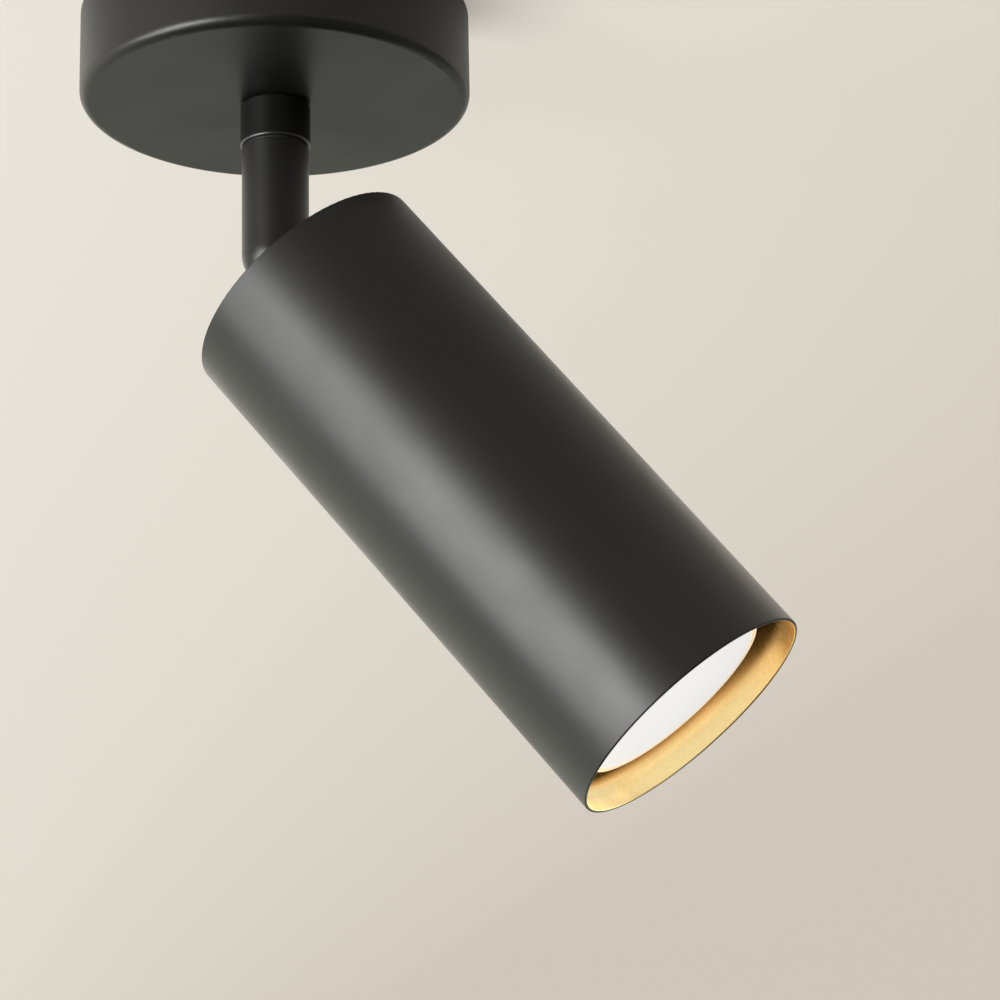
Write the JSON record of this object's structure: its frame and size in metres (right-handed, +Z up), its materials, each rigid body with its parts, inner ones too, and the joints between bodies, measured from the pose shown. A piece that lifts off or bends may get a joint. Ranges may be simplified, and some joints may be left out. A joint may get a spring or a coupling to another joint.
{
  "type": "ceiling spotlight",
  "caption": "Surface-mounted ceiling spotlight: round canopy, short panning stem and a tilting tube head with a recessed reflector lamp.",
  "frame": {"origin": "centre of the two ceiling screw slots, on the face that lies against the ceiling", "axes": "+Z up out of the ceiling face, +X the way the head leans, +Y along the ceiling bracket and the tilt pin"},
  "size_m": [0.1773, 0.1044, 0.2113],
  "materials": {
    "black_coat": "fine matt black powder coat",
    "tube_coat": "fine matt black powder coat outside, satin gold lacquer inside",
    "black_screw": "blackened steel",
    "zinc_steel": "zinc plated sheet steel",
    "fastener_steel": "bright plated steel",
    "contact_brass": "plain brass",
    "terminal_plastic": "natural polyamide",
    "washer_nylon": "dark nylon",
    "lead_insulation": "silicone sleeving",
    "holder_ceramic": "unglazed steatite",
    "lamp_shell": "white moulded plastic",
    "lamp_clear": "clear moulded rim that takes up the lamp's warm light",
    "lamp_light": "frosted diffuser, lit"
  },
  "bodies": {
    "base": {"canopy": "black_coat", "ceiling_bracket": "zinc_steel", "canopy_screws": "black_screw", "terminal_block": "terminal_plastic", "terminal_screws": "fastener_steel", "terminal_fixing": "fastener_steel", "earth_washer": "contact_brass", "earth_screw": "contact_brass", "collar": "black_coat", "stop_pin": "fastener_steel", "collar_washer": "fastener_steel", "collar_nut": "fastener_steel", "canopy_leads": "lead_insulation"},
    "stem": {"stem": "black_coat", "swivel_washer": "washer_nylon", "swivel_ring": "fastener_steel", "tilt_pin": "black_screw", "tilt_washers": "washer_nylon", "stem_leads": "lead_insulation"},
    "head": {"knuckle": "black_coat", "head_tube": "tube_coat", "head_cap": "black_coat", "holder_bracket": "zinc_steel", "head_washer": "fastener_steel", "head_nut": "fastener_steel", "lampholder": "holder_ceramic", "holder_contacts": "contact_brass", "holder_screws": "fastener_steel", "head_leads": "lead_insulation"},
    "lamp": {"lamp_base": "lamp_shell", "lamp_pins": "fastener_steel", "lamp_housing": "lamp_shell", "lamp_ring": "lamp_clear", "lamp_lens": "lamp_light"}
  },
  "joints": [
    {"name": "pan", "type": "hinge", "parent": "base", "child": "stem", "pos_m": [0, 0, -0.0352], "axis": [0, 0, 1], "range_deg": [-165, 165]},
    {"name": "tilt", "type": "hinge", "parent": "stem", "child": "head", "pos_m": [0, 0, -0.0646], "axis": [0, -1, 0], "range_deg": [-38.9, 51.1]},
    {"name": "lamp_twist", "type": "hinge", "parent": "head", "child": "lamp", "pos_m": [0, 0, -0.0646], "axis": [0.628, 0, -0.7782], "range_deg": [0, 20]}
  ]
}
